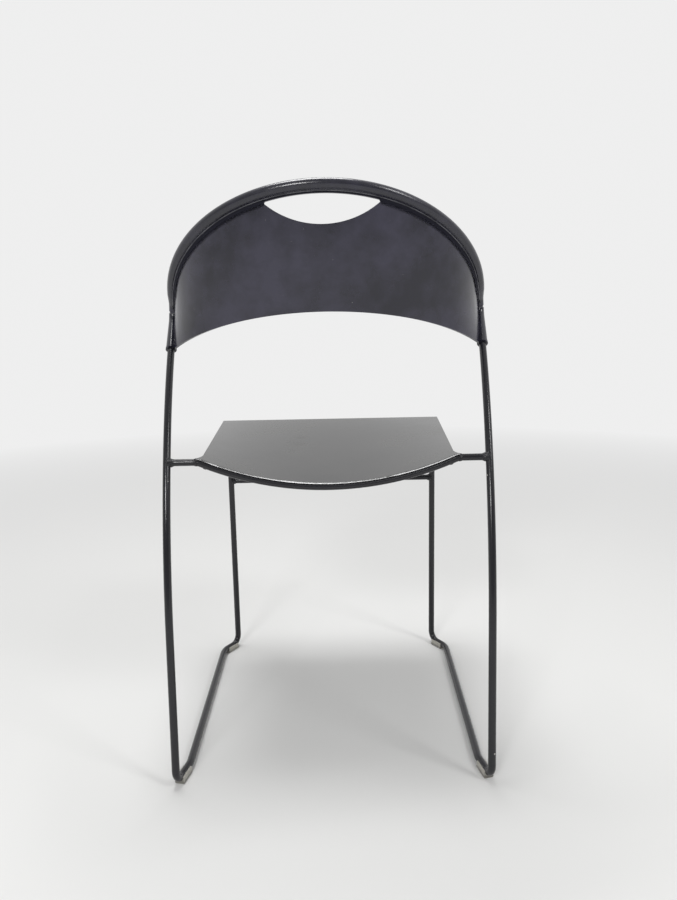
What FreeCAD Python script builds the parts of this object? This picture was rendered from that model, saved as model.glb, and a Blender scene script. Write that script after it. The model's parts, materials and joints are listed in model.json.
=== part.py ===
import FreeCAD, Part
import math
import os

# Choir chair: a stacking sled chair of bent round steel rod, with a sheet-steel seat
# and a moulded barrel backrest. All sizes are in millimetres.
# A place is given as (across, forward, up): across from the middle, forward from the
# line of the rear floor corners, up from the floor. The chair faces -Y in the model,
# so the sitter's left is +X. The left half is modelled and mirrored.

# Rod stock
rodRadius = 5.5            # frame rod, 11 mm
crossRodRadius = 5.0       # rear seat rod and cross rod, 10 mm
glideDrop = 2.5            # glide thickness under the rod

# Rear leg: straight off the floor, one long bend, straight into the backrest
rearFootAcross = 222.1
rearFootForward = -4.0
rearKneeAcross = 227.3
rearKneeForward = 52.2
rearKneeUp = 439.5
rearKneeRadius = 680.0
rearHeelRadius = 16.0

# Backrest hoop: a circle arc in a plane that rises to the rear
hoopRadius = 244.2
hoopForward = 267.0
hoopUp = 665.4
hoopTilt = math.radians(39.2)
armAcross = 248.5          # corner where hoop and rear leg meet
armForward = 269.4
armRadius = 20.0
legJoint = 62.0            # the leg ends this far short of that corner, inside the sleeve

# Runner and front leg
runnerRearAcross = 212.1
runnerRearForward = 42.1
runnerFrontAcross = 219.4
runnerFrontForward = 391.8
runnerBendRadius = 40.0
frontFootAcross = 196.1
frontFootForward = 427.4
frontToeRadius = 18.0
frontTopAcross = 195.7
frontTopForward = 435.8
frontTopRadius = 24.0

# Seat
seatThickness = 1.6
rearRodUp = 447.9          # height of the straight ends of the rear seat rod
rearRodKink = 187.9        # half width between the kinks
rearRodSlope = math.radians(22.8)
rearRodSag = 464.0         # radius of the sagging middle
rearRodKinkRadius = 25.0
wrapTurn = math.radians(40.0)   # how far the sheet goes over the rod, behind its top
wrapLead = math.radians(8.0)
wrapOverlap = 0.5          # the wrap is made this much into the rod, which then cuts it
seatRearHalf = 182.3       # the straight side edges, carried back to the rod
seatTipHalf = 188.7        # the flared rear corners
flareLength = 20.0
flareRadius = 40.0
seatFrontHalf = 206.7
seatFrontUp = 459.3        # top of the seat at its front edge
seatFrontForward = 445.0   # where the front edge starts to turn down
seatFlatness = 1.15        # how fast the sag dies out towards the front
seatFrontSag = 0.02        # keeps the front section an arc
lipRadius = 10.0
lipDepth = 7.0
seatCornerRadius = 10.0
railRearAcross = 176.0
crossRodUp = 342.3

# Backrest moulding
rimRadius = 8.0
rimRun = 4.0               # the full rim goes this far past the end of the hoop's arc
bendSleeveRadius = 6.8     # moulding round the bend
grooveWidth = 3.0          # groove round the middle of the bend
grooveRadius = 6.0
sleeveBottomRadius = 8.0
sleeveLength = 81.5        # from the arm corner down the rear leg
sleeveLip = 3.0
sleeveLipRadius = 8.5
panelThickness = 3.6
panelInset = 6.0           # panel's top edge lies this far inside the hoop's centre line
panelLowForward = 98.3     # middle of the panel's bottom edge
panelLowUp = 656.6
panelLowTilt = math.radians(24.2)
panelCornerAcross = 239.2
panelCornerForward = 216.4
panelTopReach = 0.97       # share of the hoop's half length that the panel spans
panelLowReach = 0.99
holeHalf = 79.5            # hand hole
holeTopUp = 808.9
holeEndUp = 800.0
holeLowUp = 770.3

# Welds and glides
weldLength = 5.0
weldRadius = 3.8
weldTipRadius = 0.2
tipWeldLength = 3.6
tipWeldRadius = 0.6
glideLength = 26.0
glideHalfWidth = 7.6
glideDraft = 0.8
glideHeight = 10.5
glideCorner = 2.2
glideTopCorner = 1.2

floorRod = rodRadius + glideDrop


def place(across, forward, up, side=1):
    return FreeCAD.Vector(side * across, -forward, up)


def bentPath(points, radii):
    """Straight runs through the points, joined by tangent arcs at the inner ones."""
    edges = []
    start = points[0]
    for before, corner, after, radius in zip(points, points[1:], points[2:], radii):
        back = (before - corner).normalize()
        ahead = (after - corner).normalize()
        half = back.getAngle(ahead) / 2
        setback = radius / math.tan(half)
        first = corner + back * setback
        last = corner + ahead * setback
        middle = (back + ahead).normalize()
        apex = corner + middle * (radius / math.sin(half) - radius)
        if (first - start).Length > 1e-6:
            edges.append(Part.LineSegment(start, first).toShape())
        edges.append(Part.Arc(first, apex, last).toShape())
        start = last
    edges.append(Part.LineSegment(start, points[-1]).toShape())
    return edges


def sweep(edges, radius):
    """A round rod of the given radius along the edges."""
    path = Part.Wire(Part.__sortEdges__(edges))
    first = path.OrderedEdges[0]
    start = path.OrderedVertexes[0].Point
    at = first.getParameterByLength(0)
    if (first.valueAt(at) - start).Length > 1e-6:
        at = first.getParameterByLength(first.Length)
    ring = Part.Wire(Part.Circle(start, first.tangentAt(at), radius).toShape())
    return path.makePipeShell([ring], True, False)


def cone(start, end, startRadius, endRadius):
    if abs(startRadius - endRadius) < 1e-6:
        return Part.makeCylinder(startRadius, (end - start).Length, start, end - start)
    return Part.makeCone(startRadius, endRadius, (end - start).Length, start, end - start)


def hoopPoint(angle, radius):
    """A point of the hoop's plane, by its angle from the top centre."""
    inPlane = radius * math.cos(angle)
    forward = hoopForward - inPlane * math.cos(hoopTilt)
    return place(radius * math.sin(angle), forward, hoopUp + inPlane * math.sin(hoopTilt))


def armCorner(side):
    up = hoopUp - (armForward - hoopForward) * math.tan(hoopTilt)
    return place(armAcross, armForward, up, side)


def hoopEndAngle():
    """Angle at which the straight line to the arm corner leaves the hoop's arc."""
    drop = (armForward - hoopForward) / math.cos(hoopTilt)
    reach = math.hypot(armAcross, drop)
    return math.pi / 2 + math.atan2(drop, armAcross) - math.acos(hoopRadius / reach)


def rearLegPath(side):
    foot = place(rearFootAcross, rearFootForward, floorRod, side)
    knee = place(rearKneeAcross, rearKneeForward, rearKneeUp, side)
    arm = armCorner(side)
    joint = arm + (knee - arm).normalize() * legJoint
    heel = place(runnerRearAcross, runnerRearForward, floorRod, side)
    heelEnd = foot + (heel - foot).normalize() * (rearHeelRadius + 2)
    return bentPath([joint, knee, foot, heelEnd], [rearKneeRadius, rearHeelRadius])


def runnerPath(side):
    foot = place(rearFootAcross, rearFootForward, floorRod, side)
    rear = place(runnerRearAcross, runnerRearForward, floorRod, side)
    front = place(runnerFrontAcross, runnerFrontForward, floorRod, side)
    toe = place(frontFootAcross, frontFootForward, floorRod, side)
    start = foot + (rear - foot).normalize() * (rearHeelRadius + 2)
    end = toe + (front - toe).normalize() * (frontToeRadius + 1)
    return bentPath([start, rear, front, end], [runnerBendRadius, runnerBendRadius])


def sagHeight(across, offset):
    """Height of the rear rod's sagging middle, offset square to its centre line."""
    lowest = rearRodUp - rearRodKink * math.tan(rearRodSlope)
    lowest += rearRodSag * (1 / math.cos(rearRodSlope) - 1)
    return lowest + rearRodSag - math.sqrt((rearRodSag - offset) ** 2 - across ** 2)


def frontTop(side):
    return place(frontTopAcross, frontTopForward, seatFrontUp - seatThickness - rodRadius, side)


def frontLegPath(side):
    front = place(runnerFrontAcross, runnerFrontForward, floorRod, side)
    toe = place(frontFootAcross, frontFootForward, floorRod, side)
    top = frontTop(side)
    start = toe + (front - toe).normalize() * (frontToeRadius + 1)
    end = top + (toe - top).normalize() * (frontTopRadius + 2)
    return bentPath([start, toe, end], [frontToeRadius])


def railPath(side):
    toe = place(frontFootAcross, frontFootForward, floorRod, side)
    top = frontTop(side)
    rearUp = sagHeight(railRearAcross, crossRodRadius - rodRadius)
    rear = place(railRearAcross, rearRodForward, rearUp, side)
    start = top + (toe - top).normalize() * (frontTopRadius + 2)
    return bentPath([start, top, rear], [frontTopRadius])


def hoopPath():
    edges = []
    for side in (1, -1):
        arm = armCorner(side)
        knee = place(rearKneeAcross, rearKneeForward, rearKneeUp, side)
        joint = arm + (knee - arm).normalize() * legJoint
        touch = hoopPoint(side * hoopEndAngle(), hoopRadius)
        edges += bentPath([joint, arm, touch], [armRadius])
    end = hoopEndAngle()
    ends = [hoopPoint(angle, hoopRadius) for angle in (-end, 0, end)]
    edges.append(Part.Arc(*ends).toShape())
    return edges


def rearRodPath():
    dip = rearRodUp - rearRodKink * math.tan(rearRodSlope)
    # the ends run up to the rear legs' centre lines and are trimmed by them later
    points = [place(-rearLegMeet.x, rearRodForward, rearRodUp),
              place(-rearRodKink, rearRodForward, rearRodUp),
              place(0, rearRodForward, dip),
              place(rearRodKink, rearRodForward, rearRodUp),
              place(rearLegMeet.x, rearRodForward, rearRodUp)]
    return bentPath(points, [rearRodKinkRadius, rearRodSag, rearRodKinkRadius])


def rearLegAt(up):
    """Point of the left rear leg's centre line at this height."""
    path = Part.Wire(Part.__sortEdges__(rearLegPath(1)))
    level = Part.makePlane(2000, 2000, FreeCAD.Vector(-1000, -1000, up))
    gap, pairs, info = path.distToShape(level)
    return pairs[0][0]


def rearWrap():
    """The sheet's rear edge, laid over the top of the rear rod."""
    path = Part.Wire(Part.__sortEdges__(rearRodPath()))
    start = path.OrderedVertexes[0].Point

    def at(radius, turn):
        return start + FreeCAD.Vector(0, radius * math.sin(turn), radius * math.cos(turn))

    inner = crossRodRadius - wrapOverlap
    outer = crossRodRadius + seatThickness
    middle = (wrapTurn - wrapLead) / 2
    edges = [Part.Arc(at(outer, -wrapLead), at(outer, middle), at(outer, wrapTurn)).toShape(),
             Part.LineSegment(at(outer, wrapTurn), at(inner, wrapTurn)).toShape(),
             Part.Arc(at(inner, wrapTurn), at(inner, middle), at(inner, -wrapLead)).toShape(),
             Part.LineSegment(at(inner, -wrapLead), at(outer, -wrapLead)).toShape()]
    strip = path.makePipeShell([Part.Wire(edges)], True, False)
    corner = FreeCAD.Vector(-seatTipHalf, -rearRodForward - rearRodUp / 2, 0)
    return strip.common(Part.makeBox(2 * seatTipHalf, rearRodUp, 2 * rearRodUp, corner))


def seatSection(share):
    """Cross-section of the sheet at this share of the way from rear to front."""
    half = seatRearHalf + (seatFrontHalf - seatRearHalf) * share
    forward = rearRodForward + (seatFrontForward - rearRodForward) * share
    rearTop = sagHeight(seatRearHalf, crossRodRadius + seatThickness)
    rearSag = rearTop - sagHeight(0, crossRodRadius + seatThickness)
    edgeUp = rearTop + (seatFrontUp - rearTop) * share
    sag = rearSag * (1 - share) ** seatFlatness + seatFrontSag * share
    radius = (half ** 2 + sag ** 2) / (2 * sag)
    # the flat wings are trimmed away but for the flared rear corners
    wing = half + 2 * (seatTipHalf - seatRearHalf)
    wingUp = edgeUp + (rearRodUp + crossRodRadius + seatThickness - rearTop) * (1 - share)
    edges = []
    ends = []
    for drop in (0, seatThickness):
        low = edgeUp - sag - drop
        side = low + (radius + drop) - math.sqrt((radius + drop) ** 2 - half ** 2)
        points = [place(-wing, forward, wingUp - drop), place(-half, forward, side),
                  place(0, forward, low), place(half, forward, side),
                  place(wing, forward, wingUp - drop)]
        edges += [Part.LineSegment(points[0], points[1]).toShape(),
                  Part.Arc(points[1], points[2], points[3]).toShape(),
                  Part.LineSegment(points[3], points[4]).toShape()]
        ends.append((points[0], points[4]))
    for upper, lower in zip(*ends):
        edges.append(Part.LineSegment(upper, lower).toShape())
    return Part.Wire(Part.__sortEdges__(edges))


def frontLip():
    """The seat's front edge, turned down."""
    outer = lipRadius
    inner = lipRadius - seatThickness
    centre = (seatFrontForward, seatFrontUp - lipRadius)

    def at(radius, turn, extra=0):
        return place(-seatFrontHalf, centre[0] + radius * math.sin(turn),
                     centre[1] + radius * math.cos(turn) - extra)

    half = math.pi / 4
    full = math.pi / 2
    edges = [Part.Arc(at(outer, 0), at(outer, half), at(outer, full)).toShape(),
             Part.LineSegment(at(outer, full), at(outer, full, lipDepth)).toShape(),
             Part.LineSegment(at(outer, full, lipDepth), at(inner, full, lipDepth)).toShape(),
             Part.LineSegment(at(inner, full, lipDepth), at(inner, full)).toShape(),
             Part.Arc(at(inner, full), at(inner, half), at(inner, 0)).toShape(),
             Part.LineSegment(at(inner, 0), at(outer, 0)).toShape()]
    face = Part.Face(Part.Wire(edges))
    return face.extrude(FreeCAD.Vector(2 * seatFrontHalf, 0, 0))


def seatOutline():
    """Plan of the sheet: straight tapering sides, round front corners, flared rear ones."""
    slope = (seatFrontHalf - seatRearHalf) / (seatFrontForward - rearRodForward)
    front = seatFrontForward + lipRadius + 1
    back = rearRodForward - crossRodRadius - seatThickness
    flare = rearRodForward + flareLength
    frontHalf = seatRearHalf + slope * (front - rearRodForward)
    flareHalf = seatRearHalf + slope * flareLength
    edges = []
    for side in (1, -1):
        corners = [(0, back), (seatTipHalf, back), (seatTipHalf, rearRodForward),
                   (flareHalf, flare), (frontHalf, front), (0, front)]
        points = [FreeCAD.Vector(side * across, -forward, 0) for across, forward in corners]
        edges += [Part.LineSegment(points[0], points[1]).toShape(),
                  Part.LineSegment(points[1], points[2]).toShape()]
        edges += bentPath(points[2:], [flareRadius, seatCornerRadius])
    face = Part.Face(Part.Wire(Part.__sortEdges__(edges)))
    return face.extrude(FreeCAD.Vector(0, 0, 2 * seatFrontUp))


def seatPan():
    sections = [seatSection(share / 6) for share in range(7)]
    sheet = Part.makeLoft(sections, True, False)
    sheet = sheet.fuse(frontLip()).fuse(rearWrap()).common(seatOutline())
    pan = sheet.cut(sweep(rearRodPath(), crossRodRadius)).removeSplitter()
    return max(pan.Solids, key=lambda solid: solid.Volume)


def panelEdge(run, radius):
    """Point of the hoop's line at this share of its half length, by radius."""
    sign = -1 if run < 0 else 1
    end = hoopEndAngle()
    touch = hoopPoint(end, hoopRadius)
    straight = (armCorner(1) - touch).Length
    arc = end * hoopRadius
    length = abs(run) * (arc + straight)
    if length <= arc:
        return hoopPoint(sign * length / hoopRadius, radius)
    along = (armCorner(1) - touch).normalize() * (length - arc)
    base = hoopPoint(end, radius) + along
    return FreeCAD.Vector(sign * base.x, base.y, base.z)


def panelLowEdge(run):
    """Point of the panel's bottom edge: an arc in plan, lying in a sloping plane."""
    depth = panelCornerForward - panelLowForward
    radius = (panelCornerAcross ** 2 + depth ** 2) / (2 * depth)
    angle = run * math.asin(panelCornerAcross / radius)
    forward = panelLowForward + radius * (1 - math.cos(angle))
    up = panelLowUp - (forward - panelLowForward) * math.tan(panelLowTilt)
    return place(radius * math.sin(angle), forward, up)


def panelCorners(share):
    """Four corners of the panel's section: outer low, outer top, inner top, inner low."""
    step = 0.01
    lowRun = panelLowReach * share
    topRun = panelTopReach * share
    low = panelLowEdge(lowRun)
    top = panelEdge(topRun, hoopRadius - panelInset)
    alongLow = (panelLowEdge(lowRun + step) - panelLowEdge(lowRun - step)).normalize()
    alongTop = panelEdge(topRun + step, hoopRadius) - panelEdge(topRun - step, hoopRadius)
    alongTop.normalize()
    rise = (top - low).normalize()
    lowIn = low + rise.cross(alongLow).normalize() * panelThickness
    topIn = top + rise.cross(alongTop).normalize() * panelThickness
    return low, top, topIn, lowIn


def backrestPanel():
    """Sheet of even thickness, ruled between the hoop's line and the bottom edge."""
    rows = [panelCorners(index / 9 - 1) for index in range(19)]
    edges = []
    for points in zip(*rows):
        curve = Part.BSplineCurve()
        curve.interpolate(list(points))
        edges.append(curve.toShape())
    faces = []
    for first, second in zip(edges, edges[1:] + edges[:1]):
        faces.append(Part.makeRuledSurface(first, second))
    for corners in (rows[0], rows[-1]):
        low = Part.LineSegment(corners[0], corners[3]).toShape()
        top = Part.LineSegment(corners[1], corners[2]).toShape()
        faces.append(Part.makeRuledSurface(low, top))
    shell = Part.makeShell(faces)
    shell.sewShape()
    panel = Part.makeSolid(shell)
    if panel.Volume < 0:
        panel.reverse()
    return panel


def handHole():
    ends = [place(-holeHalf, 0, holeEndUp), place(holeHalf, 0, holeEndUp)]
    top = place(0, 0, holeTopUp)
    low = place(0, 0, holeLowUp)
    edges = [Part.Arc(ends[0], top, ends[1]).toShape(), Part.Arc(ends[1], low, ends[0]).toShape()]
    face = Part.Face(Part.Wire(edges))
    return face.extrude(FreeCAD.Vector(0, -hoopForward, 0))


def sleeve(side):
    """Moulding round one arm: rim end, bend with its groove, and tapering leg sleeve."""
    arm = armCorner(side)
    knee = place(rearKneeAcross, rearKneeForward, rearKneeUp, side)
    touch = hoopPoint(side * hoopEndAngle(), hoopRadius)
    down = (knee - arm).normalize()
    upHoop = (touch - arm).normalize()
    half = down.getAngle(upHoop) / 2
    setback = armRadius / math.tan(half)
    rimEnd = touch - upHoop * rimRun
    bendStart = arm + upHoop * setback
    bendEnd = arm + down * setback
    apex = arm + (down + upHoop).normalize() * (armRadius / math.sin(half) - armRadius)
    along = (down - upHoop).normalize()
    lipStart = arm + down * (sleeveLength - sleeveLip)
    bottom = arm + down * sleeveLength
    start = apex - along * (grooveWidth / 2)
    groove = Part.makeCylinder(2 * rimRadius, grooveWidth, start, along)
    groove = groove.cut(Part.makeCylinder(grooveRadius, grooveWidth, start, along))
    bend = sweep(bentPath([bendStart + upHoop, arm, bendEnd + down], [armRadius]), bendSleeveRadius)
    return [cone(touch, rimEnd, rimRadius, rimRadius),
            cone(rimEnd, bendStart, rimRadius, bendSleeveRadius),
            bend.cut(groove),
            cone(bendEnd, lipStart, bendSleeveRadius, sleeveBottomRadius),
            cone(lipStart, bottom, sleeveLipRadius, sleeveLipRadius)]


def backrestShell():
    end = hoopEndAngle()
    arc = Part.Arc(*[hoopPoint(angle, hoopRadius) for angle in (-end, 0, end)]).toShape()
    rim = sweep([arc], rimRadius)
    panel = backrestPanel().cut(handHole())
    shell = rim.multiFuse([panel] + sleeve(1) + sleeve(-1))
    for path in (hoopPath(), rearLegPath(1), rearLegPath(-1)):
        shell = shell.cut(sweep(path, rodRadius))
    return largest(shell).removeSplitter()


def glide(first, second):
    """Clip-on saddle under the rod, along the line from first to second."""
    middle = (first + second) * 0.5
    along = (second - first).normalize()
    across = along.cross(FreeCAD.Vector(0, 0, 1))
    start = middle - along * (glideLength / 2)

    def at(side, up):
        point = start + across * side
        return FreeCAD.Vector(point.x, point.y, up)

    wide = glideHalfWidth
    narrow = wide - glideDraft
    edges = []
    for turn in (1, -1):
        points = [at(0, 0), at(turn * wide, 0), at(turn * narrow, glideHeight), at(0, glideHeight)]
        edges += bentPath(points, [glideCorner, glideTopCorner])
    face = Part.Face(Part.Wire(Part.__sortEdges__(edges)))
    return face.extrude(along * glideLength)


def weldBead(centre, direction):
    """Fillet of weld metal where a 10 mm rod meets the side of an 11 mm one."""
    end = centre + direction * (rodRadius + weldLength)
    return cone(centre, end, crossRodRadius + weldRadius, crossRodRadius + weldTipRadius)


def largest(shape):
    return max(shape.Solids, key=lambda solid: solid.Volume)


def crossRodEnd(side):
    """Point of the front leg's centre line at the cross rod's height."""
    foot = place(frontFootAcross, frontFootForward, floorRod, side)
    rise = frontTop(side) - foot
    return foot + rise * ((crossRodUp - floorRod) / rise.z)


def build():
    rearRod = sweep(rearRodPath(), crossRodRadius)
    crossRod = sweep([Part.LineSegment(crossRodEnd(1), crossRodEnd(-1)).toShape()], crossRodRadius)
    for side in (1, -1):
        rearRod = rearRod.cut(sweep(rearLegPath(side), rodRadius))
        crossRod = crossRod.cut(sweep(frontLegPath(side), rodRadius))
    nodes = {"back_hoop": sweep(hoopPath(), rodRadius),
             "backrest_shell": backrestShell(),
             "seat_pan": seatPan(),
             "seat_rear_rod": largest(rearRod),
             "front_cross_rod": largest(crossRod)}
    rearLeg = sweep(rearLegPath(1), rodRadius)
    runner = sweep(runnerPath(1), rodRadius)
    frontLeg = sweep(frontLegPath(1), rodRadius)
    rail = sweep(railPath(1), rodRadius).cut(nodes["seat_pan"]).cut(nodes["seat_rear_rod"])
    inward = FreeCAD.Vector(-1, 0, 0)
    tipStart = place(seatTipHalf, rearRodForward, rearRodUp)
    tipEnd = tipStart - inward * tipWeldLength
    bead = crossRodRadius + tipWeldRadius
    half = {"rear_leg": rearLeg,
            "runner": runner,
            "front_leg": frontLeg,
            "seat_rail": largest(rail),
            "rear_weld": weldBead(rearLegMeet, inward).cut(rearLeg).cut(nodes["seat_rear_rod"]),
            "cross_weld": weldBead(crossRodEnd(1), inward).cut(frontLeg).cut(nodes["front_cross_rod"]),
            "seat_weld": cone(tipStart, tipEnd, bead, bead).cut(nodes["seat_rear_rod"])}
    ends = {"rear": (place(rearFootAcross, rearFootForward, floorRod),
                     place(runnerRearAcross, runnerRearForward, floorRod)),
            "front": (place(frontFootAcross, frontFootForward, floorRod),
                      place(runnerFrontAcross, runnerFrontForward, floorRod))}
    for end, (first, second) in ends.items():
        clip = glide(first, second)
        for rod in (rearLeg, runner, frontLeg):
            clip = clip.cut(rod)
        half[end + "_glide"] = largest(clip)
    for name, shape in half.items():
        nodes["left_" + name] = shape
        nodes["right_" + name] = shape.mirror(FreeCAD.Vector(0, 0, 0), FreeCAD.Vector(1, 0, 0))
    return nodes


def export(name, shape, shift):
    moved = shape.copy()
    moved.translate(shift)
    moved.exportStep("parts/" + name + ".step")
    print(name, "solids", len(moved.Solids), "valid", moved.isValid(), "volume", round(moved.Volume))


# the rear rod lies in the plane of the two points where it meets the rear legs
rearLegMeet = rearLegAt(rearRodUp)
rearRodForward = -rearLegMeet.y

os.makedirs("parts", exist_ok=True)
chair = build()
box = Part.makeCompound(list(chair.values())).optimalBoundingBox(False, False)
centre = FreeCAD.Vector(-(box.XMin + box.XMax) / 2, -(box.YMin + box.YMax) / 2, -box.ZMin)
print("overall", round(box.XLength, 1), round(box.YLength, 1), round(box.ZLength, 1), "moved by", centre)
for nodeName, nodeShape in chair.items():
    export(nodeName, nodeShape, centre)
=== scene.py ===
import json
import math

import bmesh
import bpy
from mathutils import Matrix, Vector, noise
from mathutils.bvhtree import BVHTree


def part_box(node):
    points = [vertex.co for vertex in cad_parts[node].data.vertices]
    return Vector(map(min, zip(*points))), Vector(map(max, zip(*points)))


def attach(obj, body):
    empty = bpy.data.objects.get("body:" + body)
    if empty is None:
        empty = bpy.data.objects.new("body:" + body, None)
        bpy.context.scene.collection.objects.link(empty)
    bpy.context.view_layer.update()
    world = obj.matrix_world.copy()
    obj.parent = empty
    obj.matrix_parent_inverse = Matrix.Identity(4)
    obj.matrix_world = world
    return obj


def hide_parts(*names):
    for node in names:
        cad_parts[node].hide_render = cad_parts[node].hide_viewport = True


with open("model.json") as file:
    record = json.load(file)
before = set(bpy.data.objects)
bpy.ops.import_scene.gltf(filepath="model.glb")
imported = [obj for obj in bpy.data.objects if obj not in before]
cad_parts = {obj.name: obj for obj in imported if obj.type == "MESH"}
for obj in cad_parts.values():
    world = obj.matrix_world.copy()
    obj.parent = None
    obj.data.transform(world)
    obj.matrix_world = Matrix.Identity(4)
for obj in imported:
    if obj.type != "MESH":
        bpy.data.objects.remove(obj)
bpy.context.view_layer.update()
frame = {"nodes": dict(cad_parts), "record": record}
print("frame loaded:", len(frame["nodes"]), "pieces")

scene = bpy.context.scene
scene.view_settings.view_transform = "Standard"


class Wire:
    # one output of a material's nodes; sums and products on it add Math nodes
    def __init__(self, tree, socket):
        self.tree = tree
        self.socket = socket

    def maths(self, operation, *others, clamp=False):
        node = self.tree.nodes.new("ShaderNodeMath")
        node.operation = operation
        node.use_clamp = clamp
        for slot, item in zip(node.inputs, (self,) + others):
            plug(self.tree, slot, item)
        return Wire(self.tree, node.outputs[0])

    def __add__(self, other):
        return self.maths("ADD", other)

    def __radd__(self, other):
        return self.maths("ADD", other)

    def __sub__(self, other):
        return self.maths("SUBTRACT", other)

    def __rsub__(self, other):
        return self.maths("MULTIPLY", -1.0).maths("ADD", other)

    def __mul__(self, other):
        return self.maths("MULTIPLY", other)

    def __rmul__(self, other):
        return self.maths("MULTIPLY", other)

    def __truediv__(self, other):
        return self.maths("DIVIDE", other)

    def over(self, level, blur):
        # 0 below the level, 1 above it, with a soft step as wide as blur
        return ((self - level) / blur).maths("ADD", 0.5, clamp=True)

    def under(self, level, blur):
        return (self * -1).over(-level, blur)

    def most(self, other):
        return self.maths("MAXIMUM", other)


def plug(tree, slot, item):
    if isinstance(item, Wire):
        tree.links.new(item.socket, slot)
    else:
        slot.default_value = item


class Finish:
    # one material, with its own principled shader
    def __init__(self, name):
        self.material = bpy.data.materials.new(name)
        self.material.use_nodes = True
        self.tree = self.material.node_tree
        self.shader = self.tree.nodes["Principled BSDF"]
        self.place = self.add("TexCoord", output="Object")

    def add(self, kind, settings=None, inputs=None, output=0):
        node = self.tree.nodes.new("ShaderNode" + kind)
        for key, value in (settings or {}).items():
            setattr(node, key, value)
        for key, value in (inputs or {}).items():
            plug(self.tree, node.inputs[key], value)
        return Wire(self.tree, node.outputs[output])

    def vector(self, operation, *items, output=0):
        return self.add("VectorMath", {"operation": operation}, dict(enumerate(items)), output)

    def set(self, **values):
        for key, value in values.items():
            plug(self.tree, self.shader.inputs[socketNames[key]], value)

    def grain(self, scale, detail=2.0, roughness=0.5, stretch=None, turn=(0, 0, 0)):
        place = self.place
        if stretch:
            place = self.add("Mapping", {}, {"Vector": place, "Rotation": turn, "Scale": stretch})
        return self.add("TexNoise", {}, {"Vector": place, "Scale": scale, "Detail": detail, "Roughness": roughness})

    def patches(self, scale, detail, level, blur, roughness=0.5):
        # noise cut off at a level
        return self.grain(scale, detail, roughness).over(level, blur)

    def scratches(self, look):
        # two families of thin marks, which show in patches only
        first, second = (self.grain(scale, stretch=stretch, turn=turn).over(level, blur)
                         for scale, stretch, turn, level, blur in look["scratches"])
        return first.most(second) * self.patches(*look["scratchPatches"])

    def blend(self, share, first, second):
        first, second = ((*item, 1) if isinstance(item, tuple) else item for item in (first, second))
        return self.add("Mix", {"data_type": "RGBA"}, {0: share, 6: first, 7: second}, output=2)

    def spots(self, places, blur):
        # ragged spots round some points of the surface
        wobble = self.grain(spotEdge["scale"], spotEdge["detail"], spotEdge["roughness"]) - 0.5
        total = None
        for place, radius in places:
            apart = self.vector("DISTANCE", self.place, place, output="Value")
            mask = (apart + wobble * (radius * spotEdge["reach"])).under(radius, blur)
            total = mask if total is None else total.most(mask)
        return total

    def fromHoop(self):
        # distance from the backrest hoop's centre line
        apart = self.vector("SUBTRACT", self.place, hoop["centre"])
        lift = self.vector("DOT_PRODUCT", apart, hoop["axis"], output="Value")
        reach = self.vector("LENGTH", apart, output="Value")
        inPlane = (reach * reach - lift * lift).maths("SQRT") - hoop["radius"]
        return (inPlane * inPlane + lift * lift).maths("SQRT")

    def folded(self, centre):
        # place from a centre on the left side, with the right half folded over onto the left
        side = self.vector("MULTIPLY", self.vector("ABSOLUTE", self.place), (1, 0, 0))
        rest = self.vector("MULTIPLY", self.place, (0, 1, 1))
        return self.vector("SUBTRACT", self.vector("ADD", side, rest), centre)

    def fromSleeve(self):
        # distance from the line of either sleeve
        beside = self.vector("CROSS_PRODUCT", self.folded(sleeve["corner"]), sleeve["down"])
        return self.vector("LENGTH", beside, output="Value")

    def fromBend(self):
        return self.vector("LENGTH", self.folded(sleeve["bend"]), output="Value")

    def alongBend(self):
        return self.vector("DOT_PRODUCT", self.folded(sleeve["bend"]), sleeve["bendAlong"], output="Value")

    def bump(self, height, strength, distance):
        return self.add("Bump", {}, {"Height": height, "Strength": strength, "Distance": distance})


socketNames = {"colour": "Base Color", "roughness": "Roughness", "normal": "Normal", "ior": "IOR",
               "transmission": "Transmission Weight", "specular": "Specular IOR Level", "alpha": "Alpha"}
spotEdge = {"scale": 900, "detail": 4, "roughness": 0.7, "reach": 3}


# Lines of the backrest that its finishes and its fillet follow
hoopTilt = math.radians(39.2)
hoop = {
    "centre": (0, -0.0432, 0.6654),
    "across": (1, 0, 0),
    "rise": (0, math.cos(hoopTilt), math.sin(hoopTilt)),
    "axis": (0, -math.sin(hoopTilt), math.cos(hoopTilt)),
    "radius": 0.2442,
}
sleeve = {
    "corner": (0.2485, -0.0455, 0.6635),
    "down": (-0.0679, 0.6945, -0.7163),
    "bend": (0.2469, -0.0359, 0.6629),
    "bendAlong": (0.0785, -0.0514, -0.9955),
}


# Rod coating: black semi-gloss powder coat, with orange peel, fine dust and a few chips.
# Patches and specks are given as scale, detail, level, blur and, for some, roughness of the noise.
rodCoat = {
    "colour": (0.0075, 0.0075, 0.0100),
    "worn": (0.014, 0.014, 0.018),
    "cloudScale": 14,
    "roughness": 0.21,
    "roughnessSpread": 0.08,
    "rubbedPatches": (9, 4, 0.5, 0.5, 0.6),
    "peelScale": 420,
    "peelDepth": 0.000006,
    "peelStrength": 0.5,
    "dust": (0.20, 0.19, 0.18),
    "dustShare": 0.6,
    "dustRoughness": 0.3,
    "dustSpecks": (900, 1, 0.80, 0.03),
    "dustPatches": (30, 2, 0.52, 0.1),
    "bare": (0.42, 0.41, 0.39),
    "bareRoughness": 0.25,
    "chipBlur": 0.0004,
    "chipDepth": 2.0,        # in peel depths
    "chips": [((-0.2250, 0.2270, 0.0445), 0.0015),
              ((-0.2253, 0.1416, 0.4242), 0.0012),
              ((0.2273, 0.1436, 0.4246), 0.0007)],
}
beadCoat = dict(rodCoat, peelScale=900, peelDepth=0.00003, roughness=0.26)


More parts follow.
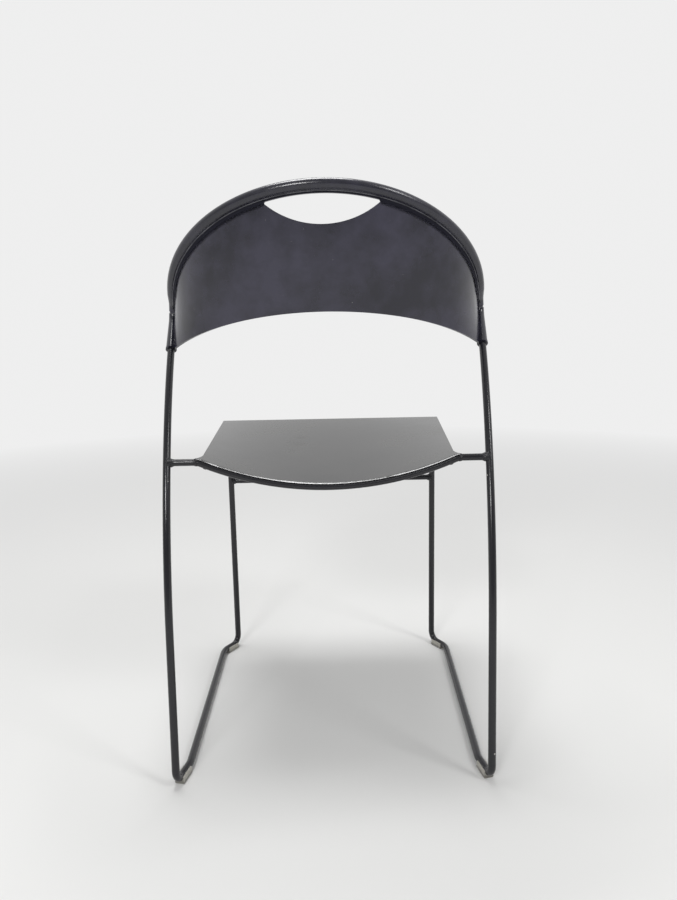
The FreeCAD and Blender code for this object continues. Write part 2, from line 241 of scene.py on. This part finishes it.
def makeRodCoat(name, look):
    finish = Finish(name)
    clouds = finish.grain(look["cloudScale"], 3)
    peel = finish.grain(look["peelScale"])
    chips = finish.spots(look["chips"], look["chipBlur"])
    specks = finish.patches(*look["dustSpecks"]) * finish.patches(*look["dustPatches"])
    colour = finish.blend(clouds, look["colour"], look["worn"])
    colour = finish.blend(specks * look["dustShare"], colour, look["dust"])
    colour = finish.blend(chips, colour, look["bare"])
    rubbed = finish.patches(*look["rubbedPatches"])
    roughness = rubbed * look["roughnessSpread"] + (look["roughness"] - look["roughnessSpread"] / 2)
    finish.set(colour=colour, roughness=roughness + chips * look["bareRoughness"] + specks * look["dustRoughness"],
               normal=finish.bump(peel - chips * look["chipDepth"], look["peelStrength"], look["peelDepth"]))
    return finish.material


# Seat coating: the same black, flatter, with rubbed patches, scuffs and short scratches
seatCoat = {
    "colour": (0.0085, 0.0085, 0.0095),
    "rubbed": (0.030, 0.029, 0.028),
    "cloudScale": 7,
    "colourClouds": (0.52, 0.4),         # level and blur
    "roughnessClouds": (0.5, 0.45),
    "roughness": 0.25,
    "roughnessSpread": 0.09,
    "ior": 1.85,
    "peelScale": 300,
    "peelDepth": 0.00002,
    "peelStrength": 0.5,
    "scuff": (0.16, 0.155, 0.15),
    "scuffShare": 0.12,
    "scuffRoughness": 0.2,
    "scuffBlur": 0.010,
    "scuffs": [((0.054, -0.050, 0.4505), 0.016), ((0.049, -0.090, 0.4545), 0.012),
               ((0.060, -0.010, 0.4440), 0.010)],
    "scratchShare": 0.35,
    "scratchRoughness": 0.15,
    "scratchDepth": 0.6,                 # in peel depths
    # scale, stretch, turn, level, blur
    "scratches": [(60, (1, 0.03, 1), (0, 0, 0.35), 0.745, 0.02),
                  (48, (0.03, 1, 1), (0, 0, -0.2), 0.755, 0.02)],
    "scratchPatches": (11, 1, 0.55, 0.15),
}


def makeSeatCoat(name, look):
    finish = Finish(name)
    clouds = finish.grain(look["cloudScale"], 4, 0.6)
    ragged = finish.grain(260, 4, 0.7, stretch=(1, 0.3, 1)).over(0.5, 0.2)
    scuffs = finish.spots(look["scuffs"], look["scuffBlur"]) * ragged
    scratches = finish.scratches(look)
    colour = finish.blend(clouds.over(*look["colourClouds"]), look["colour"], look["rubbed"])
    colour = finish.blend(scratches * look["scratchShare"], colour, look["scuff"])
    colour = finish.blend(scuffs * look["scuffShare"], colour, look["scuff"])
    spread = clouds.over(*look["roughnessClouds"]) * look["roughnessSpread"]
    roughness = spread + (look["roughness"] - look["roughnessSpread"] / 2)
    roughness = roughness + scuffs * look["scuffRoughness"] + scratches * look["scratchRoughness"]
    height = finish.grain(look["peelScale"]) - scratches * look["scratchDepth"]
    finish.set(colour=colour, roughness=roughness, ior=look["ior"],
               normal=finish.bump(height, look["peelStrength"], look["peelDepth"]))
    return finish.material


# Backrest moulding: dark bluish plastic with a fine grain, cloudy wear, faint scratches and specks
backPlastic = {
    "colour": (0.006, 0.0055, 0.014),
    "worn": (0.035, 0.033, 0.056),
    "cloudScale": 11,
    "blotchScale": 38,
    "blotchShare": 0.3,
    "cloudLevel": 0.5,
    "cloudBlur": 0.22,
    "roughness": 0.19,
    "roughnessSpread": 0.09,
    "ior": 1.60,
    "grainScale": 1500,
    "grainDepth": 0.00002,
    "grainStrength": 0.45,
    "scratch": (0.13, 0.13, 0.15),
    "scratchShare": 0.5,
    "scratchDepth": 0.8,                 # in grain depths
    "scratches": [(55, (1, 1, 0.035), (0.25, 0.15, 0), 0.74, 0.018),
                  (70, (0.05, 0.05, 1), (0.2, 0.5, 0.3), 0.765, 0.015)],
    "scratchPatches": (14, 2, 0.53, 0.12),
    "speck": (0.45, 0.44, 0.43),
    "speckShare": 0.8,
    "speckRoughness": 0.2,
    "specks": (520, 1, 0.815, 0.02),
    "speckPatches": (17, 2, 0.5, 0.15),
    "rim": (0.013, 0.013, 0.021),        # the rim and sleeves are darker and smoother
    "rimRoughness": 0.20,
    "rimReach": 0.0086,
    "sleeveReach": 0.0098,
    "rimBlur": 0.0008,
    "rimGrain": 0.03,                    # share of the grain that the rim keeps
    "rubbedPatches": (30, 4, 0.55, 0.3, 0.6),
    "rubbedShare": 0.5,
    "rubbedRoughness": 0.08,
    "ring": (0.17, 0.17, 0.175),         # pale ring in the groove of each bend
    "ringHalfWidth": 0.0019,
    "ringBlur": 0.0006,
    "ringReach": 0.011,
}


def makeBackPlastic(name, look):
    finish = Finish(name)
    clouds = finish.grain(look["cloudScale"], 4, 0.55)
    blotches = finish.grain(look["blotchScale"], 4, 0.6)
    cloudy = clouds * (1 - look["blotchShare"]) + blotches * look["blotchShare"]
    cloudy = cloudy.over(look["cloudLevel"], look["cloudBlur"])
    scratches = finish.scratches(look)
    specks = finish.patches(*look["specks"]) * finish.patches(*look["speckPatches"])
    colour = finish.blend(cloudy, look["colour"], look["worn"])
    colour = finish.blend(scratches * look["scratchShare"], colour, look["scratch"])
    colour = finish.blend(specks * look["speckShare"], colour, look["speck"])
    roughness = cloudy * look["roughnessSpread"] + (look["roughness"] - look["roughnessSpread"] / 2)
    rim = finish.fromHoop().under(look["rimReach"], look["rimBlur"])
    rim = rim.most(finish.fromSleeve().under(look["sleeveReach"], look["rimBlur"]))
    rubbed = finish.patches(*look["rubbedPatches"])
    rimColour = finish.blend(rubbed * look["rubbedShare"] + specks * 0.3, look["rim"], look["worn"])
    ring = finish.alongBend().maths("ABSOLUTE").under(look["ringHalfWidth"], look["ringBlur"])
    ring = ring * finish.fromBend().under(look["ringReach"], 0.001)
    rimColour = finish.blend(ring, rimColour, look["ring"])
    colour = finish.blend(rim, colour, rimColour)
    roughness = roughness + rim * (rubbed * look["rubbedRoughness"] + (look["rimRoughness"] - look["roughness"]))
    height = finish.grain(look["grainScale"]) - scratches * look["scratchDepth"]
    height = height * (1 - rim * (1 - look["rimGrain"]))
    finish.set(colour=colour, roughness=roughness + specks * look["speckRoughness"], ior=look["ior"],
               normal=finish.bump(height, look["grainStrength"], look["grainDepth"]))
    return finish.material


# Glides: soft milky plastic that lets some light through, with grey floor dirt low down
glidePlastic = {
    "colour": (0.66, 0.64, 0.58),
    "roughness": 0.34,
    "smearScale": 240,
    "smearSpread": 0.2,
    "wearScale": 900,
    "wearDepth": 0.0001,
    "wearStrength": 0.3,
    "dirt": (0.20, 0.19, 0.17),
    "dirtHeight": 0.0045,
    "dirtBlur": 0.003,
    "dirtShare": 0.7,
    "dirtRoughness": 0.3,
    "transmission": 0.45,
    "ior": 1.46,
}


def makeGlidePlastic(name, look):
    finish = Finish(name)
    height = finish.add("SeparateXYZ", {}, {0: finish.place}, output="Z")
    smear = finish.grain(look["smearScale"], 4, 0.65)
    ragged = height + (smear - 0.5) * look["dirtHeight"]
    dirt = ragged.under(look["dirtHeight"], look["dirtBlur"]) * look["dirtShare"]
    roughness = smear * look["smearSpread"] + (look["roughness"] - look["smearSpread"] / 2)
    finish.set(colour=finish.blend(dirt, look["colour"], look["dirt"]),
               roughness=roughness + dirt * look["dirtRoughness"],
               normal=finish.bump(finish.grain(look["wearScale"]), look["wearStrength"], look["wearDepth"]),
               transmission=look["transmission"], ior=look["ior"])
    return finish.material


slotFinishes = {"frame": makeRodCoat("blackRodCoat", rodCoat),
                "weld": makeRodCoat("coatedWeld", beadCoat),
                "seat": makeSeatCoat("seatCoat", seatCoat),
                "backrest": makeBackPlastic("backrestPlastic", backPlastic),
                "glide": makeGlidePlastic("glidePlastic", glidePlastic)}
slotOf = {part["node"]: part["material_slot"] for part in frame["record"]["subparts"]}
for nodeName, node in frame["nodes"].items():
    material = slotFinishes[slotOf[nodeName]]
    if not node.material_slots:
        node.data.materials.append(material)
    for held in node.material_slots:
        held.material = material
print("finishes on", len(slotOf), "pieces")


# Weld beads: lumpy fillets that a welder ran round each joint
weldBeads = {
    "segments": 56,
    "rings": 9,
    "hollow": 1.7,           # how deeply the fillet is hollowed; 1 is a plain cone
    "ripples": 15,           # the puddles of one run round the rod
    "rippleTwist": 0.5,
    "rippleHeight": 0.00045,
    "lumpHeight": 0.0006,
    "lumpScale": 260,
    "seedStep": 3.7,
    "tipGap": 0.0006,
    # kind: length, radius at its wide end, radius at its narrow end, start short of the box's outer side
    "kinds": {"rear_weld": (0.0092, 0.0086, 0.0052, 0.0014),
              "cross_weld": (0.0085, 0.0082, 0.0052, 0.0016),
              "seat_weld": (0.0042, 0.0060, 0.0052, -0.0042)},
}


def linked(name, bm, material):
    mesh = bpy.data.meshes.new(name)
    bm.to_mesh(mesh)
    bm.free()
    mesh.materials.append(material)
    made = bpy.data.objects.new(name, mesh)
    scene.collection.objects.link(made)
    return made


def smoothQuads(bm):
    for face in bm.faces:
        face.smooth = len(face.verts) == 4


def weldBead(look, name, start, direction, length, wide, narrow, seed):
    bm = bmesh.new()
    bmesh.ops.create_cone(bm, cap_ends=True, segments=look["segments"], radius1=wide, radius2=narrow, depth=length)
    sides = [edge for edge in bm.edges if abs(edge.verts[0].co.z - edge.verts[1].co.z) > length / 2]
    bmesh.ops.subdivide_edges(bm, edges=sides, cuts=look["rings"])
    for vert in bm.verts:
        along = min(max(vert.co.z / length + 0.5, 0), 1)
        around = math.atan2(vert.co.y, vert.co.x)
        radius = narrow + (wide - narrow) * (1 - along) ** look["hollow"]
        ripple = math.cos(look["ripples"] * (around + look["rippleTwist"] * along)) * look["rippleHeight"]
        lump = noise.noise(vert.co * look["lumpScale"] + Vector((seed, 0, 0))) * look["lumpHeight"]
        radius += (ripple + lump) * math.sin(math.pi * along)      # strongest in its middle
        vert.co.x = radius * math.cos(around)
        vert.co.y = radius * math.sin(around)
    turn = Vector((0, 0, 1)).rotation_difference(direction).to_matrix().to_4x4()
    bmesh.ops.transform(bm, matrix=Matrix.Translation(start + direction * (length / 2)) @ turn, verts=bm.verts)
    smoothQuads(bm)
    return linked(name, bm, slotFinishes["weld"])


def makeWeldBeads(look):
    count = 0
    for side, sign in (("left", 1), ("right", -1)):
        for kind, (length, wide, narrow, inset) in look["kinds"].items():
            low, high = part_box(side + "_" + kind)
            outer, inner = (high.x, low.x) if sign > 0 else (low.x, high.x)
            start = (low + high) / 2
            start.x = outer - sign * inset
            direction = Vector((-sign, 0, 0))
            if kind == "seat_weld":
                # this one runs outward from the sheet's tip
                start.x = inner - sign * look["tipGap"]
                direction = -direction
            name = side + kind.title().replace("_", "") + "Bead"
            bead = weldBead(look, name, start, direction, length, wide, narrow, look["seedStep"] * count)
            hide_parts(side + "_" + kind)
            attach(bead, "root")
            count += 1
    print("weld beads made:", count)


makeWeldBeads(weldBeads)


# Fillet of the moulding under the rim: a hollow from the rim down onto the panel's outer face, laid as a thin skin
# whose low-gloss finish paints the shade of the dark band under the rim, with a thin bead along its top painted pale
# as a highlight
rimFillet = {
    "halfTurn": math.radians(85),
    "steps": 136,
    "rows": 8,
    "rimRadius": 0.0080,
    "above": 0.0050,         # it runs from here to below, both measured down from the hoop's centre line
    "below": 0.0175,
    "edgeGap": 0.0003,       # and stops this short of the panel's own edge
    "probe": 0.0086,         # first height that clears the rim
    "probeStep": 0.0004,
    "probeReach": 0.03,
    "probeJump": 3,          # a hit this many steps from the last one is past the edge
    "standOff": 0.0032,      # from the panel's face, at its top
    "skin": 0.00035,
    "sunk": 0.0006,
    # fade, roughness and specular make the fillet a low-gloss dark band that fades out downward: painted shade under
    # the rim
    "fade": (0.0150, 0.0055),
    "roughness": 0.5,
    "specular": 0.10,
    "beadRadius": 0.0010,
    "beadSides": 10,
    "beadPlace": 0.75,       # share of the stand-off
    # the bead's pale colour, in patches, is a painted highlight along the rim's lower edge
    "rubbed": (0.11, 0.11, 0.125),
    "rubbedPatches": (40, 3, 0.48, 0.25),
    "highlightLeast": 0.3,
}


def rimSection(look, moulding, angle):
    # the fillet's and the bead's outlines across the rim at one place along it
    across, rise = Vector(hoop["across"]), Vector(hoop["rise"])
    tangent = math.cos(angle) * across - math.sin(angle) * rise
    heart = Vector(hoop["centre"]) + (math.sin(angle) * across + math.cos(angle) * rise) * hoop["radius"]
    down = Vector((0, 0, -1))
    down = (down - tangent * down.dot(tangent)).normalized()
    out = tangent.cross(down)

    def onPanel(depth):
        return moulding.ray_cast(heart + down * depth + out * look["probeReach"], -out, 2 * look["probeReach"])[0]

    first = onPanel(look["probe"])
    depth, last = look["probe"], first
    while depth < look["below"]:
        hit = onPanel(depth + look["probeStep"])
        if hit is None or (hit - last).length > look["probeJump"] * look["probeStep"]:
            break
        depth, last = depth + look["probeStep"], hit
    slope = (last - first) / (depth - look["probe"])
    end = depth - look["edgeGap"]
    loop = []
    for row in range(look["rows"] + 1):
        share = row / look["rows"]
        height = look["above"] + (end - look["above"]) * share
        stand = look["standOff"] * (1 - share) ** 2 + look["skin"]
        loop.append(first + slope * (height - look["probe"]) + out * stand)
    for height in (end, look["above"]):
        loop.append(first + slope * (height - look["probe"]) - out * look["sunk"])

    beside = (first - heart).dot(out) + look["standOff"] * look["beadPlace"]
    below = math.sqrt(max(look["rimRadius"] ** 2 - beside ** 2, 0))
    beadHeart = heart + out * beside + down * below
    turns = [2 * math.pi * side / look["beadSides"] for side in range(look["beadSides"])]
    bead = [beadHeart + (out * math.cos(turn) + down * math.sin(turn)) * look["beadRadius"] for turn in turns]
    return loop, bead


def loft(name, loops, material):
    bm = bmesh.new()
    rings = [[bm.verts.new(point) for point in loop] for loop in loops]
    edges = [[bm.edges.new((ring[index - 1], ring[index])) for index in range(len(ring))] for ring in rings]
    for before, after in zip(edges, edges[1:]):
        bmesh.ops.bridge_loops(bm, edges=before + after)
    bmesh.ops.holes_fill(bm, edges=edges[0] + edges[-1], sides=0)
    bmesh.ops.recalc_face_normals(bm, faces=bm.faces)
    smoothQuads(bm)
    made = linked(name, bm, material)
    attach(made, "root")


def makeRimFillet(look):
    shell = frame["nodes"]["backrest_shell"].data
    moulding = BVHTree.FromPolygons([vert.co for vert in shell.vertices], [face.vertices for face in shell.polygons])
    angles = [look["halfTurn"] * (2 * step / look["steps"] - 1) for step in range(look["steps"] + 1)]
    fillets, beads = zip(*(rimSection(look, moulding, angle) for angle in angles))
    # painted shade: a barely glossy skin in the rim's colour, fading out away from the hoop
    paintedShade = Finish("filletPaintedShade")
    paintedShade.set(colour=backPlastic["rim"] + (1,), roughness=look["roughness"], specular=look["specular"],
             alpha=paintedShade.fromHoop().under(*look["fade"]))
    loft("rimFillet", fillets, paintedShade.material)
    # painted highlight: the bead is coloured pale in patches to stand for a light line under the rim
    edge = Finish("paintedHighlightEdge")
    rubbed = edge.patches(*look["rubbedPatches"]) * (1 - look["highlightLeast"]) + look["highlightLeast"]
    edge.set(colour=edge.blend(rubbed, backPlastic["rim"], look["rubbed"]), roughness=backPlastic["rimRoughness"])
    loft("rimEdge", beads, edge.material)


makeRimFillet(rimFillet)
print("rim fillet made")


# Camera, lights and floor
viewpoint = {
    "place": (-0.0164, 1.0781, 0.6388),
    "pitch": 10.53,          # degrees down
    "yaw": -0.07,
    "roll": -1.13,
    "focal": 676,            # in pixels of a picture 677 wide and 900 high
    "pictureHeight": 900,
    "sensor": 24,
    "nearest": 0.02,
}


def makeCamera(look):
    pitch, yaw, roll = (math.radians(look[key]) for key in ("pitch", "yaw", "roll"))
    ahead = Vector((-math.sin(yaw) * math.cos(pitch), -math.cos(yaw) * math.cos(pitch), -math.sin(pitch)))
    right = Vector((-math.cos(yaw), math.sin(yaw), 0))
    up = right.cross(ahead)
    across = math.cos(roll) * right + math.sin(roll) * up
    above = math.cos(roll) * up - math.sin(roll) * right
    turn = Matrix((across, above, -ahead)).transposed().to_4x4()
    data = bpy.data.cameras.new("camera")
    data.sensor_fit = "VERTICAL"
    data.sensor_height = look["sensor"]
    data.lens = look["focal"] / look["pictureHeight"] * look["sensor"]
    data.clip_start = look["nearest"]
    camera = bpy.data.objects.new("camera", data)
    scene.collection.objects.link(camera)
    camera.matrix_world = Matrix.Translation(look["place"]) @ turn
    scene.camera = camera


studio = {
    "lamps": [
        # name, place, width, height, watts
        ("keyLamp", (0.9, 2.7, 2.1), 0.7, 0.5, 30),
        ("sideLamp", (-1.7, 1.2, 2.2), 0.5, 0.9, 15),
        ("overheadLamp", (0.2, -0.5, 2.8), 1.2, 0.9, 38),
    ],
    "target": (0, 0, 0.45),
    "worldFill": 0.40,
    "worldSeen": 0.86,
    "worldBehindCamera": 0.29,   # gloss sees the room darker on the backrest's side
    "behind": (0.25, 1.1),       # level and blur of that, in the direction's Y

    "floorColour": (0.80, 0.80, 0.79),
    "floorWorn": (0.76, 0.76, 0.755),
    "floorWornShare": 0.15,
    "floorRoughness": 0.85,
    "floorHalf": 15,
    "floorFades": (0.6, 3.2),    # the floor turns into the backdrop's white between these distances
}


def makeLamps(look):
    target = Vector(look["target"])
    for name, place, width, height, watts in look["lamps"]:
        data = bpy.data.lights.new(name, "AREA")
        data.shape = "RECTANGLE"
        data.size = width
        data.size_y = height
        data.energy = watts
        lamp = bpy.data.objects.new(name, data)
        scene.collection.objects.link(lamp)
        lamp.location = place
        lamp.rotation_euler = (target - Vector(place)).to_track_quat("-Z", "Y").to_euler()


def makeWorld(look):
    world = bpy.data.worlds.new("studioWorld")
    scene.world = world
    world.use_nodes = True
    tree = world.node_tree
    path = tree.nodes.new("ShaderNodeLightPath")
    camera, glossy, through = (Wire(tree, path.outputs["Is " + kind + " Ray"])
                               for kind in ("Camera", "Glossy", "Transmission"))
    seen = camera.most(glossy).most(through)
    place = tree.nodes.new("ShaderNodeTexCoord")
    split = tree.nodes.new("ShaderNodeSeparateXYZ")
    tree.links.new(place.outputs["Generated"], split.inputs[0])
    toBack = Wire(tree, split.outputs["Y"]).over(*look["behind"]) * glossy
    strength = seen * (look["worldSeen"] - look["worldFill"]) + look["worldFill"]
    strength = strength - toBack * (look["worldSeen"] - look["worldBehindCamera"])
    background = tree.nodes["Background"]
    background.inputs["Color"].default_value = (1, 1, 1, 1)
    plug(tree, background.inputs["Strength"], strength)


def makeFloor(look):
    finish = Finish("paleFloor")
    worn = finish.grain(3, 3) * look["floorWornShare"]
    finish.set(colour=finish.blend(worn, look["floorColour"], look["floorWorn"]), roughness=look["floorRoughness"])
    near, far = look["floorFades"]
    apart = finish.vector("LENGTH", finish.place, output="Value")
    white = finish.add("Emission", {}, {"Color": (1, 1, 1, 1), "Strength": look["worldSeen"]})
    seen = finish.add("LightPath", output="Is Camera Ray").most(finish.add("LightPath", output="Is Glossy Ray"))
    share = apart.over((near + far) / 2, far - near) * seen
    shown = finish.add("MixShader", {}, {0: share, 1: Wire(finish.tree, finish.shader.outputs[0]), 2: white})
    finish.tree.links.new(shown.socket, finish.tree.nodes["Material Output"].inputs["Surface"])
    bm = bmesh.new()
    bmesh.ops.create_grid(bm, x_segments=1, y_segments=1, size=look["floorHalf"])
    linked("studioFloor", bm, finish.material)


makeCamera(viewpoint)
makeLamps(studio)
makeWorld(studio)
makeFloor(studio)
print("camera and studio ready")
